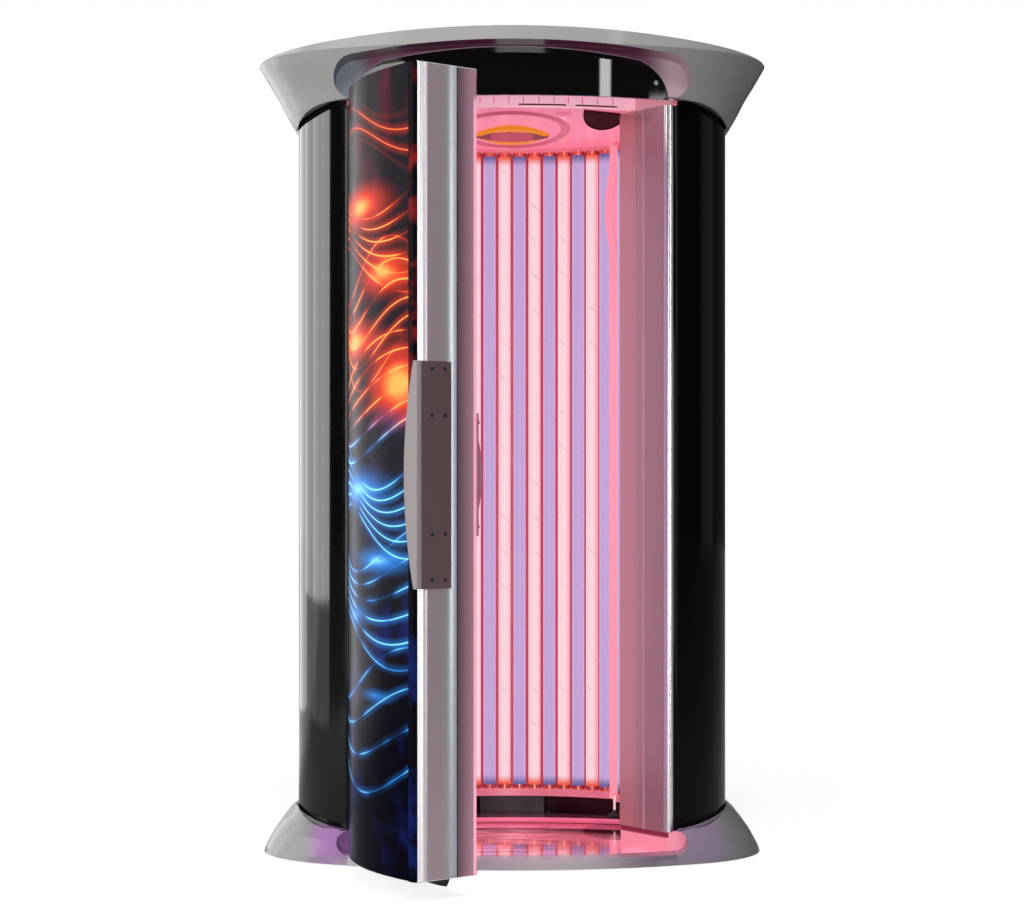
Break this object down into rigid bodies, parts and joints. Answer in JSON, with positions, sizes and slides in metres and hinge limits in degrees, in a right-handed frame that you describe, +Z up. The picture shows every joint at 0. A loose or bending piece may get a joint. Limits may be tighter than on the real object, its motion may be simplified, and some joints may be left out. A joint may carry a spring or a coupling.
{
  "type": "vertical tanning booth",
  "caption": "Vertical tanning booth: curved hinged door standing open, flared crown and base, tall lamps around the cabin, posts, handles, ceiling fan and exhaust spigot.",
  "frame": {"origin": "floor level, on the underside of the middle levelling foot, under the middle of the body's plan", "axes": "+Z up, -Y out of the entrance, +X to the right of someone facing the entrance"},
  "size_m": [1.4262, 2.015, 2.285],
  "materials": {
    "pale_shell": "glossy light grey moulding",
    "dark_cover": "matt black sheet",
    "grey_steel": "powder-coated",
    "dark_steel": "black powder coat",
    "black_rubber": "matt",
    "dark_gloss": "mirror gloss",
    "black_plastic": "fine grain",
    "black_gloss": "piano black",
    "satin_aluminium": "satin anodised",
    "bronze": "sintered",
    "light_diffuser": "translucent, lit violet",
    "sign_black": "gloss, bare",
    "bright_steel": "polished",
    "zinc_sheet": "galvanised",
    "pink_liner": "satin, lit pink",
    "orange_ring": "lit orange",
    "maroon_mesh": "perforated sheet",
    "uv_glass": "coated lamp glass, lit lavender",
    "beauty_glass": "coated lamp glass, lit pink",
    "lamp_cap_metal": "satin, lit orange",
    "maroon_holder": "satin",
    "reflector_sheet": "bright rolled",
    "column_liner": "satin, lit pink",
    "button_green": "satin",
    "button_grey": "satin",
    "grey_plastic": "fine grain",
    "leaf_gloss": "printed gloss",
    "dark_metal": "dark satin",
    "black_screw": "black oxide",
    "grip_grey": "light grey satin",
    "pink_grip": "satin"
  },
  "bodies": {
    "booth": {"crown_shell": "pale_shell", "base_skirt": "pale_shell", "entrance_sill": "pale_shell", "crown_cover": "dark_cover", "roof_frame": "grey_steel", "chassis": "dark_steel", "levelling_feet": "black_rubber", "floor_plate": "dark_gloss", "support_feet": "black_plastic", "left_side_shell": "black_gloss", "right_side_shell": "black_gloss", "rear_shell": "black_gloss", "hinge_post": "satin_aluminium", "strike_post": "satin_aluminium", "post_blocks": "dark_steel", "door_seal": "black_rubber", "frame_uprights": "grey_steel", "hinge_brackets": "grey_steel", "hinge_bushes": "bronze", "crown_light": "light_diffuser", "sign_panel": "sign_black", "sign_screws": "bright_steel", "exhaust_duct": "zinc_sheet", "exhaust_fan_motor": "dark_steel", "ceiling_panel": "pink_liner", "fan_grille_ring": "orange_ring", "cabin_fan_motor": "dark_steel", "mist_nozzle": "pink_liner", "speaker_grilles": "maroon_mesh", "rear_uv_lamps": "uv_glass", "rear_beauty_lamps": "beauty_glass", "side_uv_lamps": "uv_glass", "side_beauty_lamps": "beauty_glass", "cabin_lamp_caps": "lamp_cap_metal", "lamp_holders": "maroon_holder", "rear_reflector": "reflector_sheet", "side_reflectors": "reflector_sheet", "cabin_columns": "column_liner", "grab_handles": "column_liner", "control_panel": "black_plastic", "ballasts": "grey_steel", "electrical_box": "grey_plastic", "cable_inlet": "black_plastic"},
    "door_leaf": {"door_skin": "leaf_gloss", "closing_profile": "satin_aluminium", "hinge_profile": "satin_aluminium", "door_rails": "grey_plastic", "door_reflector": "reflector_sheet", "door_lamps": "uv_glass", "door_lamp_caps": "lamp_cap_metal", "handle_plate": "dark_metal", "handle_screws": "black_screw", "pull_handle": "grip_grey", "inner_handle": "pink_grip", "door_guide": "black_plastic", "hinge_pins": "bright_steel"},
    "exhaust_rotor": {"exhaust_fan_rotor": "black_plastic"},
    "cabin_rotor": {"cabin_fan_rotor": "black_plastic"},
    "session_key": {"session_button": "button_green"},
    "fan_key": {"fan_button": "button_grey"}
  },
  "joints": [
    {"name": "door_hinge", "type": "hinge", "parent": "booth", "child": "door_leaf", "pos_m": [-0.39856, -0.501, 1.062], "axis": [0, 0, 1], "range_deg": [-12, 78]},
    {"name": "cabin_fan_spin", "type": "hinge", "parent": "booth", "child": "cabin_rotor", "pos_m": [0, 0.1, 2.091], "axis": [0, 0, 1], "continuous": true},
    {"name": "exhaust_fan_spin", "type": "hinge", "parent": "booth", "child": "exhaust_rotor", "pos_m": [0, 0.33, 2.253], "axis": [0, 0, 1], "continuous": true},
    {"name": "session_button_press", "type": "slide", "parent": "booth", "child": "session_key", "axis": [-0.6018, 0.7986, 0], "range_m": [0, 0.0025], "stiffness_N_per_m": 300},
    {"name": "fan_button_press", "type": "slide", "parent": "booth", "child": "fan_key", "axis": [-0.6018, 0.7986, 0], "range_m": [0, 0.0025], "stiffness_N_per_m": 300}
  ]
}
